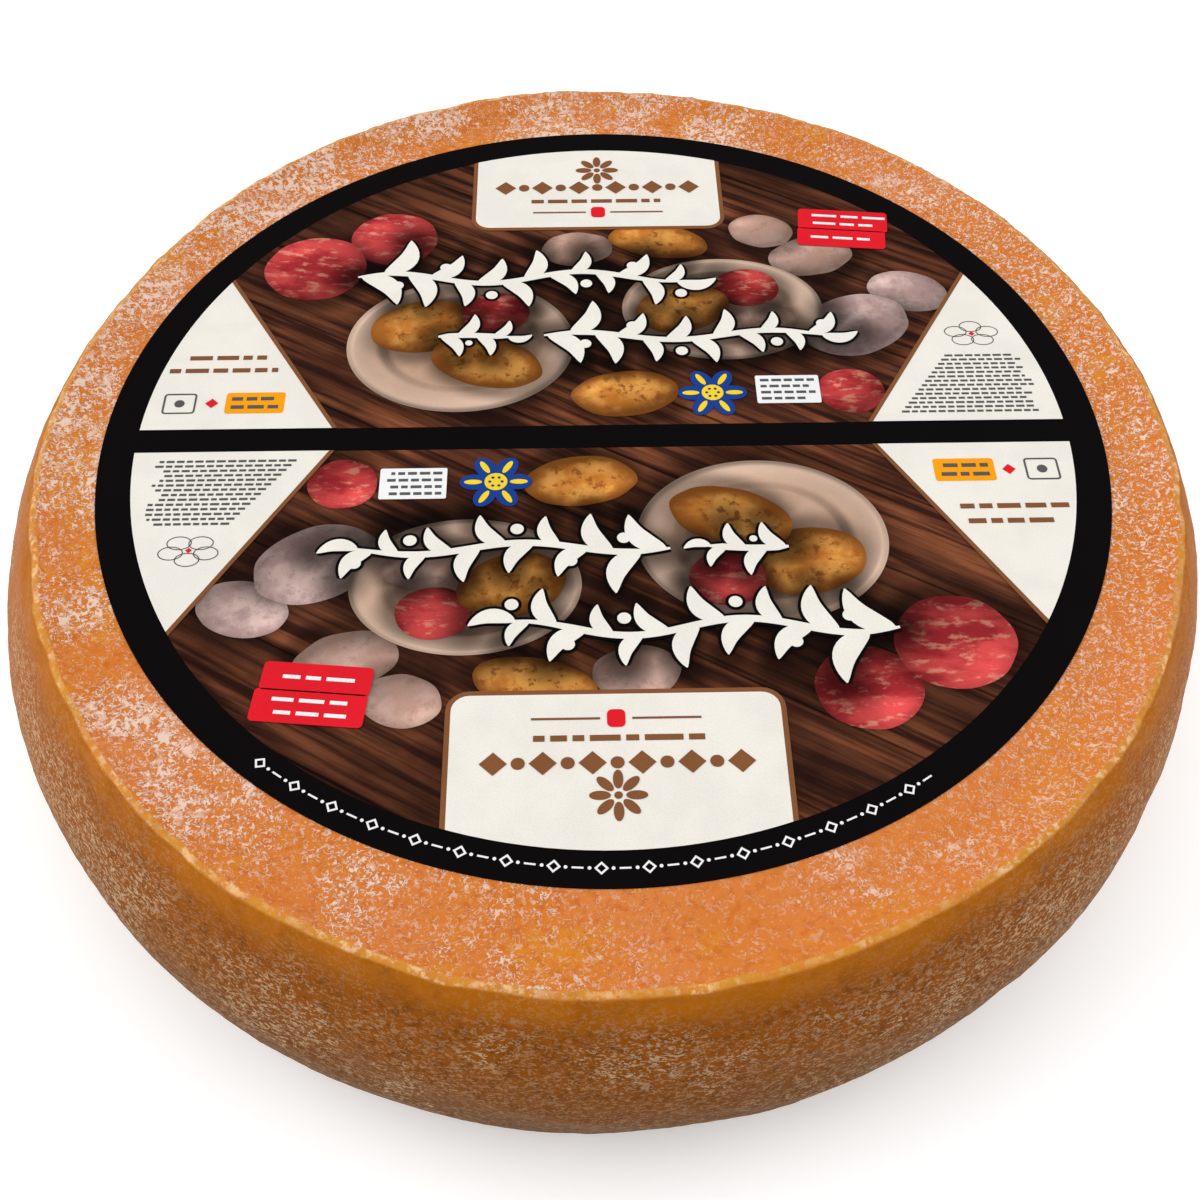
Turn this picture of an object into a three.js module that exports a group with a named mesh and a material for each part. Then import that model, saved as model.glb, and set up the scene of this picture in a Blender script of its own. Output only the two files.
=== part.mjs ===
// A whole wheel of washed-rind melting cheese with a round printed paper label on its top.
// Millimetres, +Z up. The origin is the middle of the flat bottom, and the label's own
// reading side faces -Y.
import * as THREE from 'three';
import { mergeVertices } from 'three/addons/utils/BufferGeometryUtils.js';

// The wheel: its ridge is the narrow raised edge where the top meets the side. The top leans a
// little to +X of the foot, as a wheel that sagged while it was pressed.
const ridgeHalfX = 139.4;
const ridgeHalfY = 142.6;
const wheelHeight = 75.0;
const sideBulge = 12.6;
const topHeight = 71.8;
const topFlatRadius = 129.5;
const footRounding = 6.5;
const ridgeLean = 1.8;

// The ridge in section: a worn, nearly flat crest between a short inner bank and the side.
const crestWidth = 2.4;
const bankWidth = 3.6;
const bankDrop = 1.5;
const crestDrop = 0.35;

// The paper label: a shade narrower front to back, and a little off the wheel's middle.
const labelHalfX = 125.0;
const labelHalfY = 121.9;
const labelThickness = 0.4;
const labelOffset = [1.4, 3.1];

// How finely the surfaces are cut.
const turnSteps = 184;
const sideSteps = 9;
const footSteps = 3;
const labelSteps = 72;
const smallestEdge = 1e-3;

// Hand-made unevenness: [waves round the wheel, height in mm, phase in radians].
const outlineWaves = [[3, 0.35, 2.1], [5, 0.25, 4.4], [8, 0.16, 1.3], [13, 0.1, 5.2]];
const sideWaves = [[4, 0.22, 3.0], [7, 0.2, 0.4], [11, 0.18, 2.6], [19, 0.12, 4.9], [31, 0.08, 1.1]];
const ridgeWaves = [[3, 0.25, 1.9], [9, 0.18, 0.2], [17, 0.16, 3.7], [37, 0.16, 2.2], [61, 0.14, 5.6]];
const topWaves = [[2, 0.25, 4.0], [6, 0.18, 1.2], [10, 0.12, 3.3]];

// Nicks in the ridge where the rind has chipped: [angle in degrees, width in degrees, depth in mm].
const nicks = [
  [196, 2.2, 1.1], [207, 1.6, 0.9], [214, 2.0, 1.2], [231, 1.8, 0.8], [262, 2.4, 1.0],
  [276, 1.7, 0.9], [297, 1.8, 0.7], [318, 2.1, 1.2], [341, 2.0, 0.9], [352, 1.6, 0.8],
  [14, 1.9, 0.9], [47, 2.2, 0.7], [88, 2.0, 0.9], [121, 1.8, 0.8], [163, 2.1, 1.0],
];

function wave(list, angle) {
  return list.reduce((sum, [count, height, phase]) => sum + height * Math.sin(count * angle + phase), 0);
}

// fade(value, from, to) is 0 at `from` and 1 at `to`, level at both ends.
const fade = THREE.MathUtils.smoothstep;

// How deep the rim is chipped at this angle.
function nickDepth(angle) {
  const degrees = THREE.MathUtils.euclideanModulo(THREE.MathUtils.radToDeg(angle), 360);
  let depth = 0;
  for (const [at, width, deepest] of nicks) {
    const gap = Math.abs(((degrees - at + 540) % 360) - 180);
    depth += deepest * Math.exp(-((gap / width) ** 2));
  }
  return depth;
}

// The round wheel's section, from the bottom's middle out and up, over the ridge, to the top's
// middle. Radii are those across the mean of the two half widths.
const ridgeRadius = (ridgeHalfX + ridgeHalfY) / 2;

function sideRadius(z) {
  const t = 2 * z / wheelHeight - 1;
  return ridgeRadius + sideBulge * (1 - t * t);
}

function wheelSection() {
  const points = [new THREE.Vector2(0, 0)];
  points.push(new THREE.Vector2(ridgeRadius * 0.55, 0));
  const footRadius = sideRadius(footRounding);
  for (let i = 0; i <= footSteps; i += 1) {
    const turn = (i / footSteps) * Math.PI / 2;
    const x = footRadius - footRounding * 1.6 * (1 - Math.sin(turn));
    points.push(new THREE.Vector2(x, footRounding * (1 - Math.cos(turn))));
  }
  const sideTop = wheelHeight - crestDrop * 3;
  for (let i = 1; i <= sideSteps; i += 1) {
    const z = footRounding + (sideTop - footRounding) * (i / sideSteps);
    points.push(new THREE.Vector2(sideRadius(z), z));
  }
  const crestIn = ridgeRadius - crestWidth;
  points.push(new THREE.Vector2(ridgeRadius - crestWidth * 0.15, wheelHeight - crestDrop));
  points.push(new THREE.Vector2(ridgeRadius - crestWidth * 0.55, wheelHeight));
  points.push(new THREE.Vector2(crestIn, wheelHeight - crestDrop * 1.4));
  points.push(new THREE.Vector2(crestIn - bankWidth * 0.5, wheelHeight - bankDrop * 0.85));
  points.push(new THREE.Vector2(crestIn - bankWidth, wheelHeight - bankDrop - crestDrop));
  points.push(new THREE.Vector2((crestIn - bankWidth + topFlatRadius) / 2, topHeight + 0.45));
  points.push(new THREE.Vector2(topFlatRadius, topHeight));
  points.push(new THREE.Vector2(topFlatRadius * 0.5, topHeight));
  points.push(new THREE.Vector2(0, topHeight));
  return points;
}

// Moves a point of the round wheel to its place on the uneven oval one. The bottom and the
// ground under the label stay flat.
function unevenPoint(point) {
  const radius = Math.hypot(point.x, point.y);
  const angle = Math.atan2(point.y, point.x);
  const outer = fade(radius, ridgeRadius * 0.6, ridgeRadius);
  const onSide = outer * fade(point.z, 0, wheelHeight * 0.45)
    * (1 - fade(point.z, wheelHeight * 0.6, wheelHeight));
  const nearRidge = fade(radius, topFlatRadius, ridgeRadius - crestWidth)
    * fade(point.z, wheelHeight * 0.9, wheelHeight * 0.97);
  const crest = fade(radius, ridgeRadius - crestWidth - bankWidth, ridgeRadius - crestWidth)
    * fade(point.z, wheelHeight * 0.93, wheelHeight * 0.985);
  const swell = outer * wave(outlineWaves, angle) + onSide * wave(sideWaves, angle + point.z * 0.02)
    - crest * nickDepth(angle) * 0.7;
  const lift = nearRidge * wave(topWaves, angle) + crest * (wave(ridgeWaves, angle) - nickDepth(angle));
  const lean = ridgeLean * fade(point.z, wheelHeight * 0.5, wheelHeight * 0.95);
  const grown = radius + swell;
  point.set(
    grown * Math.cos(angle) * (ridgeHalfX / ridgeRadius) + lean,
    grown * Math.sin(angle) * (ridgeHalfY / ridgeRadius),
    point.z + lift,
  );
}

// Joins the seam and the poles of a turned or extruded shape, and drops its flattened triangles.
function closedBody(geometry) {
  geometry.deleteAttribute('normal');
  geometry.deleteAttribute('uv');
  const merged = mergeVertices(geometry, smallestEdge);
  const index = merged.getIndex().array;
  const kept = [];
  for (let i = 0; i < index.length; i += 3) {
    const [a, b, c] = index.slice(i, i + 3);
    if (a !== b && b !== c && c !== a) {
      kept.push(a, b, c);
    }
  }
  merged.setIndex(kept);
  merged.computeVertexNormals();
  return merged;
}

function cheeseWheel() {
  const turned = new THREE.LatheGeometry(wheelSection(), turnSteps);
  turned.rotateX(Math.PI / 2);
  const body = closedBody(turned);
  const place = body.getAttribute('position');
  const point = new THREE.Vector3();
  for (let i = 0; i < place.count; i += 1) {
    point.fromBufferAttribute(place, i);
    unevenPoint(point);
    place.setXYZ(i, point.x, point.y, point.z);
  }
  body.computeBoundingBox();
  const middle = body.boundingBox.getCenter(new THREE.Vector3());
  body.translate(-middle.x, -middle.y, 0);
  body.computeVertexNormals();
  const rind = new THREE.MeshStandardMaterial({ color: 0xd98a48, roughness: 0.62, metalness: 0 });
  const mesh = new THREE.Mesh(body, rind);
  mesh.name = 'cheese_wheel';
  return mesh;
}

function paperLabel() {
  const outline = new THREE.Shape();
  outline.absellipse(0, 0, labelHalfX, labelHalfY, 0, Math.PI * 2, false, 0);
  const sheet = new THREE.ExtrudeGeometry(outline, {
    depth: labelThickness,
    bevelEnabled: false,
    curveSegments: labelSteps,
  });
  const paper = new THREE.MeshStandardMaterial({ color: 0x1b1718, roughness: 0.4, metalness: 0 });
  const mesh = new THREE.Mesh(closedBody(sheet), paper);
  mesh.name = 'label';
  mesh.position.set(labelOffset[0], labelOffset[1], topHeight);
  return mesh;
}

const wheel = new THREE.Group();
wheel.add(cheeseWheel());
wheel.add(paperLabel());

export default wheel;
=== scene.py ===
import math
import random
from collections import namedtuple
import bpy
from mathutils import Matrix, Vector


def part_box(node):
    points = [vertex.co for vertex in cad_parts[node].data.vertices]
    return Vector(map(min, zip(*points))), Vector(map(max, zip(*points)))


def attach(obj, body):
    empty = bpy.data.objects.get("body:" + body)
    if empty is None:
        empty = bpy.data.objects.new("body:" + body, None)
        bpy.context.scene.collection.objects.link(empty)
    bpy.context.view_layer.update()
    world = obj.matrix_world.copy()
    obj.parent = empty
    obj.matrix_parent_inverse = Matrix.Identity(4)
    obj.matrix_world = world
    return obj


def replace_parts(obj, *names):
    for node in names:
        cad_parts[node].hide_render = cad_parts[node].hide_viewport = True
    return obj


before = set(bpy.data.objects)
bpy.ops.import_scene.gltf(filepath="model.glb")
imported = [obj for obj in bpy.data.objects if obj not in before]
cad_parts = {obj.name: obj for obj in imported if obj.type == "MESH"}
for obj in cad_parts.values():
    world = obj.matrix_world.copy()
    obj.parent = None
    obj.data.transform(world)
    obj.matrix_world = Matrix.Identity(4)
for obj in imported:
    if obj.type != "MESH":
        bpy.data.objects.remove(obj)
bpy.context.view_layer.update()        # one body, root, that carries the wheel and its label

from types import SimpleNamespace

import bmesh
import bpy
from mathutils import Matrix, Vector, kdtree, noise

mm = 0.001
fullTurn = 2 * math.pi


# Small helpers

def say(text):
    print("raclette wheel:", text)


def fade(value, low, high):        # 0 at low and 1 at high, level at both ends
    t = min(max((value - low) / (high - low), 0.0), 1.0)
    return t * t * (3 - 2 * t)


def spinRound(bm, steps, near):        # a section's edges, turned round the upright axis to a closed skin
    bmesh.ops.spin(bm, geom=bm.verts[:] + bm.edges[:], cent=(0, 0, 0), axis=(0, 0, 1), dvec=(0, 0, 0),
                   angle=fullTurn, steps=steps, use_merge=True, use_duplicate=False)
    bmesh.ops.remove_doubles(bm, verts=bm.verts[:], dist=near)
    bmesh.ops.recalc_face_normals(bm, faces=bm.faces[:])


def makeObject(bm, name, material):
    mesh = bpy.data.meshes.new(name)
    bm.to_mesh(mesh)
    bm.free()
    mesh.materials.append(material)
    made = bpy.data.objects.new(name, mesh)
    bpy.context.scene.collection.objects.link(made)
    return made


def makePiece(bm, name, material, smooth=False, wall=None):
    piece = makeObject(bm, name, material)
    piece.data.polygons.foreach_set("use_smooth", [smooth] * len(piece.data.polygons))
    if wall:        # print and paper get their thickness downwards
        solid = piece.modifiers.new("wall", "SOLIDIFY")
        solid.thickness = wall
        solid.offset = -1
    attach(piece, "root")
    return piece


# Node helpers

def addNode(tree, kind, inputs=None, **settings):
    node = tree.nodes.new(kind)
    for key, value in settings.items():
        setattr(node, key, value)
    for key, value in (inputs or {}).items():
        if isinstance(value, bpy.types.NodeSocket):
            tree.links.new(value, node.inputs[key])
        else:
            node.inputs[key].default_value = value
    return node


def calc(tree, operation, a, b=0.0, clamp=False):
    return addNode(tree, "ShaderNodeMath", {0: a, 1: b}, operation=operation, use_clamp=clamp).outputs[0]


def times(tree, a, b, clamp=False):
    return calc(tree, "MULTIPLY", a, b, clamp)


def remap(tree, value, low, high, toLow=0.0, toHigh=1.0):
    settings = {"Value": value, "From Min": low, "From Max": high, "To Min": toLow, "To Max": toHigh}
    return addNode(tree, "ShaderNodeMapRange", settings, interpolation_type="SMOOTHSTEP").outputs[0]


def blend(tree, amount, first, second, how="MIX"):
    node = addNode(tree, "ShaderNodeMix", {0: amount, 6: first, 7: second}, data_type="RGBA", blend_type=how)
    return node.outputs[2]


def grain(tree, where, scale, detail=2.0, roughness=0.5, distortion=0.0):
    settings = {"Vector": where, "Scale": scale, "Detail": detail, "Roughness": roughness,
                "Distortion": distortion}
    return addNode(tree, "ShaderNodeTexNoise", settings).outputs[0]


def spread(tree, where, size=(1, 1, 1), shift=(0, 0, 0), turn=(0, 0, 0)):
    settings = {"Vector": where, "Scale": size, "Location": shift, "Rotation": turn}
    return addNode(tree, "ShaderNodeMapping", settings).outputs[0]


def attribute(tree, name):
    return addNode(tree, "ShaderNodeAttribute", attribute_name=name).outputs["Fac"]


def newMaterial(name, roughness, specular):        # gives also the place on the object, for textures
    material = bpy.data.materials.new(name)
    material.use_nodes = True
    tree = material.node_tree
    shader = tree.nodes["Principled BSDF"]
    shader.inputs["Roughness"].default_value = roughness
    shader.inputs["Specular IOR Level"].default_value = specular
    return material, tree, shader, addNode(tree, "ShaderNodeTexCoord").outputs["Object"]


def addBump(tree, shader, height, strength, distance):
    settings = {"Height": height, "Strength": strength, "Distance": distance}
    tree.links.new(addNode(tree, "ShaderNodeBump", settings).outputs[0], shader.inputs["Normal"])


def newGroup(name, inputs, outputs):
    group = bpy.data.node_groups.new(name, "ShaderNodeTree")
    for label, kind in inputs:
        group.interface.new_socket(label, in_out="INPUT", socket_type="NodeSocket" + kind)
    for label, kind in outputs:
        group.interface.new_socket(label, in_out="OUTPUT", socket_type="NodeSocket" + kind)
    return group, group.nodes.new("NodeGroupInput").outputs, group.nodes.new("NodeGroupOutput").inputs


def useGroup(tree, group, inputs):
    return addNode(tree, "ShaderNodeGroup", inputs, node_tree=group).outputs


# The camera stands where the photograph was taken from, measured off the label's outline

labelLow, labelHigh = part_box("label")
labelMiddle = (labelLow + labelHigh) / 2
labelMiddle.z = labelLow.z

cameraPlan = SimpleNamespace(
    distance=359.5 * mm,        # from the middle of the label
    elevation=47.81,
    tilt=-6.53,        # degrees below the middle of the label
    pan=0.14,
    roll=0.34,
    lens=42.71,        # on a sensor 36 mm wide
)


def addCamera(plan):
    camera = bpy.data.objects.new("camera", bpy.data.cameras.new("camera"))
    camera.data.lens = plan.lens
    camera.data.sensor_width = 36.0
    camera.data.clip_start = 0.01
    camera.data.clip_end = 50.0
    rise = math.radians(plan.elevation)
    back = Vector((0, -math.cos(rise), math.sin(rise)))
    aim = (-back).to_track_quat("-Z", "Y").to_matrix().to_4x4()
    for axis, turn in (("Z", plan.roll), ("Y", plan.pan), ("X", plan.tilt)):
        aim = aim @ Matrix.Rotation(math.radians(turn), 4, axis)
    camera.matrix_world = Matrix.Translation(labelMiddle + back * plan.distance) @ aim
    bpy.context.scene.collection.objects.link(camera)
    bpy.context.scene.camera = camera


lightPlan = SimpleNamespace(
    # soft boxes: name, strength, width in degrees, where from
    boxes=[
        ("overhead box", 1.0, 70.0, (0.1, 0.1, 1.0)),
        ("left box", 2.35, 64.0, (-1.0, 0.1, 0.38)),
        ("right box", 1.3, 64.0, (1.0, 0.15, 0.36)),
    ],
    roomLight=0.48,
    roomColour=(0.98, 0.99, 1.0, 1.0),
    floorColour=(0.95, 0.95, 0.945, 1.0),
    floorGlow=0.2,
    floorSize=6.0,
)


def addStudio(plan):
    for name, strength, width, fromWhere in plan.boxes:
        sun = bpy.data.lights.new(name, "SUN")
        sun.energy = strength
        sun.angle = math.radians(width)
        lamp = bpy.data.objects.new(name, sun)
        lamp.rotation_mode = "QUATERNION"
        lamp.rotation_quaternion = Vector(fromWhere).to_track_quat("Z", "Y")
        bpy.context.scene.collection.objects.link(lamp)
    world = bpy.data.worlds.new("studio")
    world.use_nodes = True
    sky = world.node_tree.nodes["Background"]
    sky.inputs["Color"].default_value = plan.roomColour
    sky.inputs["Strength"].default_value = plan.roomLight
    bpy.context.scene.world = world
    bpy.context.scene.view_settings.view_transform = "Standard"

    paper, tree, shader, where = newMaterial("studio floor", roughness=0.9, specular=0.2)
    soft = grain(tree, where, 3.0)
    white = blend(tree, remap(tree, soft, 0.3, 0.7, 0.0, 0.02), plan.floorColour, (0.8, 0.8, 0.8, 1))
    tree.links.new(white, shader.inputs["Base Color"])
    shader.inputs["Emission Color"].default_value = plan.floorColour
    shader.inputs["Emission Strength"].default_value = plan.floorGlow        # like a sheet lit from below
    bm = bmesh.new()
    bmesh.ops.create_grid(bm, x_segments=8, y_segments=8, size=plan.floorSize / 2)
    floor = makeObject(bm, "floor", paper)


# The wheel: the section and unevenness of its solid, spun much finer, with the rind's own relief

wheelPlan = SimpleNamespace(
    ridgeHalfX=139.4 * mm,
    ridgeHalfY=142.6 * mm,
    height=75.0 * mm,
    bulge=12.6 * mm,
    topHeight=71.8 * mm,
    flatRadius=129.5 * mm,
    footRounding=6.5 * mm,
    lean=1.8 * mm,
    crestWidth=2.4 * mm,
    bankWidth=3.6 * mm,
    bankDrop=1.5 * mm,
    crestDrop=0.35 * mm,
    turnSteps=640,
    sideSteps=60,
    footSteps=8,
    topStep=0.9 * mm,
    crestStep=0.35 * mm,
    # waves round the wheel: how many, how high in mm, phase
    outlineWaves=[(3, 0.35, 2.1), (5, 0.25, 4.4), (8, 0.16, 1.3), (13, 0.1, 5.2)],
    sideWaves=[(4, 0.22, 3.0), (7, 0.2, 0.4), (11, 0.18, 2.6), (19, 0.12, 4.9), (31, 0.08, 1.1)],
    ridgeWaves=[(3, 0.25, 1.9), (9, 0.18, 0.2), (17, 0.16, 3.7), (37, 0.16, 2.2), (61, 0.14, 5.6)],
    topWaves=[(2, 0.25, 4.0), (6, 0.18, 1.2), (10, 0.12, 3.3)],
    # nicks in the ridge: where in degrees, how wide in degrees, how deep in mm
    nicks=[(196, 2.2, 1.1), (207, 1.6, 0.9), (214, 2.0, 1.2), (231, 1.8, 0.8), (262, 2.4, 1.0),
              (276, 1.7, 0.9), (297, 1.8, 0.7), (318, 2.1, 1.2), (341, 2.0, 0.9), (352, 1.6, 0.8),
              (14, 1.9, 0.9), (47, 2.2, 0.7), (88, 2.0, 0.9), (121, 1.8, 0.8), (163, 2.1, 1.0)],
    wornBack=0.22,        # how much of the nicks is left; the far edge is worn smoother
    wornFront=0.6,
    # the rind's own relief, in metres
    lumps=0.22 * mm,
    reliefFade=3 * mm,        # the relief grows over this width from the flats
    leather=0.13 * mm,
    crumble=0.13 * mm,
    chip=0.22 * mm,
)
ridgeRadius = (wheelPlan.ridgeHalfX + wheelPlan.ridgeHalfY) / 2


def waveSum(waves, angle):
    return mm * sum(height * math.sin(count * angle + phase) for count, height, phase in waves)


def nickDepth(plan, angle):
    degrees = math.degrees(angle) % 360
    depth = 0.0
    for at, width, deepest in plan.nicks:
        gap = abs((degrees - at + 540) % 360 - 180)
        if gap < width * 3:
            depth += deepest * math.exp(-(gap / width) ** 2)
    return depth * (plan.wornBack if degrees < 180 else plan.wornFront) * mm


def sideRadius(plan, z):
    t = 2 * z / plan.height - 1
    return ridgeRadius + plan.bulge * (1 - t * t)


def wheelSection(plan):        # corners of the section, from the bottom's middle over to the top's middle
    points = [(0, 0), (ridgeRadius * 0.55, 0), (ridgeRadius * 0.8, 0)]
    foot = plan.footRounding
    footRadius = sideRadius(plan, foot)
    for i in range(plan.footSteps + 1):
        turn = i / plan.footSteps * math.pi / 2
        points.append((footRadius - foot * 1.6 * (1 - math.sin(turn)), foot * (1 - math.cos(turn))))
    sideTop = plan.height - plan.crestDrop * 3
    for i in range(1, plan.sideSteps + 1):
        z = foot + (sideTop - foot) * i / plan.sideSteps
        points.append((sideRadius(plan, z), z))
    crest, drop = plan.crestWidth, plan.crestDrop
    inner = ridgeRadius - crest
    bankFoot = inner - plan.bankWidth
    points += [
        (ridgeRadius - crest * 0.15, plan.height - drop),
        (ridgeRadius - crest * 0.55, plan.height),
        (inner, plan.height - drop * 1.4),
        (inner - plan.bankWidth * 0.5, plan.height - plan.bankDrop * 0.85),
        (bankFoot, plan.height - plan.bankDrop - drop),
        ((bankFoot + plan.flatRadius) / 2, plan.topHeight + 0.45 * mm),
        (plan.flatRadius, plan.topHeight),
        (plan.flatRadius * 0.93, plan.topHeight),
        (plan.flatRadius * 0.5, plan.topHeight),
        (0, plan.topHeight),
    ]
    return points


def sectionWire(bm, plan):
    points = [bm.verts.new((r, 0, z)) for r, z in wheelSection(plan)]
    for pair in zip(points, points[1:]):
        bm.edges.new(pair)
    bankFoot = ridgeRadius - plan.crestWidth - plan.bankWidth
    for edge in bm.edges[:]:
        middle = (edge.verts[0].co + edge.verts[1].co) / 2
        if middle.z > plan.topHeight - 0.1 * mm and middle.x > plan.flatRadius * 0.93:
            step = plan.crestStep if middle.x > bankFoot else plan.topStep
            cuts = int(edge.calc_length() / step)
            if cuts:
                bmesh.ops.subdivide_edges(bm, edges=[edge], cuts=cuts)
    rounded = [v for v in bm.verts if v.co.x > bankFoot - plan.topStep and v.co.z > plan.topHeight]
    for _ in range(5):
        bmesh.ops.smooth_vert(bm, verts=rounded, factor=0.5, use_axis_x=True, use_axis_z=True)


def uneven(plan, place):        # from the round wheel to the uneven oval one
    radius = math.hypot(place.x, place.y)
    angle = math.atan2(place.y, place.x)
    height, z = plan.height, place.z
    outer = fade(radius, ridgeRadius * 0.6, ridgeRadius)
    onSide = outer * fade(z, 0, height * 0.45) * (1 - fade(z, height * 0.6, height))
    crestIn = ridgeRadius - plan.crestWidth
    nearRidge = fade(radius, plan.flatRadius, crestIn) * fade(z, height * 0.9, height * 0.97)
    crest = fade(radius, crestIn - plan.bankWidth, crestIn) * fade(z, height * 0.93, height * 0.985)
    nick = nickDepth(plan, angle) if crest else 0.0
    swell = (outer * waveSum(plan.outlineWaves, angle) - crest * nick * 0.7
             + onSide * waveSum(plan.sideWaves, angle + z / mm * 0.02))
    ridgeLift = waveSum(plan.ridgeWaves, angle) * (1 - 0.65 * fade(math.sin(angle), -0.2, 0.5))
    lift = nearRidge * waveSum(plan.topWaves, angle) + crest * (ridgeLift - nick)
    lean = plan.lean * fade(z, height * 0.5, height * 0.95)
    grown = radius + swell
    return Vector((grown * math.cos(angle) * plan.ridgeHalfX / ridgeRadius + lean,
                   grown * math.sin(angle) * plan.ridgeHalfY / ridgeRadius, z + lift))


def rindRelief(plan, place, fromRidge):        # how far the rind stands proud here
    lumps = noise.fractal(place * 42, 0.7, 2.0, 3) * plan.lumps
    leather = (noise.noise(place * 300) + 0.6 * noise.noise(place * 560)) * plan.leather
    nearCrest = 1 - fade(abs(fromRidge), 1.2 * mm, 4.0 * mm)
    crumbs = (noise.noise(place * 330) + 0.7 * noise.noise(place * 700)) * plan.crumble
    chips = fade(noise.noise(place * 170), 0.22, 0.42) * plan.chip
    return lumps + leather + (crumbs - chips) * nearCrest


def buildWheel(plan, material):
    bm = bmesh.new()
    sectionWire(bm, plan)
    spinRound(bm, plan.turnSteps, 0.01 * mm)
    bm.normal_update()
    ridgeLayer = bm.verts.layers.float.new("fromRidge")
    crestMiddle = ridgeRadius - plan.crestWidth * 0.5
    spots = []
    for v in bm.verts:
        radius = math.hypot(v.co.x, v.co.y)
        onTop = v.co.z > plan.topHeight - 0.1 * mm and radius < crestMiddle
        v[ridgeLayer] = radius - crestMiddle if onTop else plan.height - v.co.z
        place = uneven(plan, v.co)
        start, at = (plan.flatRadius, radius) if onTop else (0, v.co.z)
        free = fade(at, start, start + plan.reliefFade)
        if free:
            place += v.normal * rindRelief(plan, place, v[ridgeLayer]) * free
        spots.append(place)
    for v, place in zip(bm.verts, spots):
        v.co = place
    xs = [place.x for place in spots]
    ys = [place.y for place in spots]
    low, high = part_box("cheese_wheel")
    shift = Vector(((low.x + high.x - min(xs) - max(xs)) / 2, (low.y + high.y - min(ys) - max(ys)) / 2, 0))
    bmesh.ops.translate(bm, verts=bm.verts[:], vec=shift)
    wheel = makePiece(bm, "rind_wheel", material, smooth=True)
    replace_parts(wheel, "cheese_wheel")


# The rind: orange with peach and golden zones, curly white bloom, a worn yellow ridge, a browner side

rindPlan = SimpleNamespace(
    # colours of the top, the ridge and the side; the side's foot colour also holds painted shade and the
    # flank colour painted light
    orange=(0.58, 0.17, 0.024, 1),
    peach=(0.6, 0.185, 0.042, 1),
    golden=(0.6, 0.2, 0.02, 1),
    deep=(0.47, 0.108, 0.012, 1),
    bloom=(0.78, 0.6, 0.5, 1),
    ridge=(0.57, 0.235, 0.028, 1),
    wornRidge=(0.8, 0.5, 0.25, 1),
    underRidge=(0.37, 0.108, 0.003, 1),
    sideTop=(0.25, 0.067, 0.002, 1),
    sideFootToneAndShade=(0.122, 0.042, 0.003, 1),
    sideDark=(0.105, 0.026, 0.001, 1),
    flankToneAndLight=(0.4, 0.12, 0.018, 1),
    sideBloom=(0.51, 0.34, 0.2, 1),
    # bloom strokes: how many to a metre, how wide, how broken
    strokes=(540.0, 0.06, 0.5),
    fineStrokes=(720.0, 0.075, 0.49),
    webs=(330.0, 0.1, 0.47),
    sideStrokes=(420.0, 0.065, 0.5),
    fineSideStrokes=(600.0, 0.08, 0.5),
    sideFlatten=1.9,        # lays the strokes of the side along it
    patches=34.0,
    bloomToBack=0.42,
    bloomToLeft=0.28,
    denseCover=0.92,
    cover=0.9,
    wobble=3.5 * mm,        # of the zones' borders
    roughness=0.55,
    bloomRoughness=0.8,
    specular=0.035,
    bump=0.45 * mm,
)


def curlGroup():        # short curly strokes: the middle contour of a twisted noise, broken into pieces
    inputs = [("Where", "Vector"), ("Scale", "Float"), ("Width", "Float"), ("Gaps", "Float")]
    group, given, result = newGroup("bloom curls", inputs, [("Strokes", "Float")])
    where, scale, width = given["Where"], given["Scale"], given["Width"]
    twisted = grain(group, where, scale, detail=1.0, roughness=0.45, distortion=1.2)
    away = calc(group, "ABSOLUTE", calc(group, "SUBTRACT", twisted, 0.5))
    line = calc(group, "SUBTRACT", 1.0, calc(group, "DIVIDE", away, width), clamp=True)
    moved = spread(group, where, shift=(0.31, 0.17, 0.53))
    pieces = grain(group, moved, times(group, scale, 1.3), detail=1.0)
    broken = times(group, calc(group, "SUBTRACT", pieces, given["Gaps"]), 18.0, clamp=True)
    whole = times(group, times(group, line, 2.0, clamp=True), broken)
    group.links.new(whole, result["Strokes"])
    return group


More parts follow.
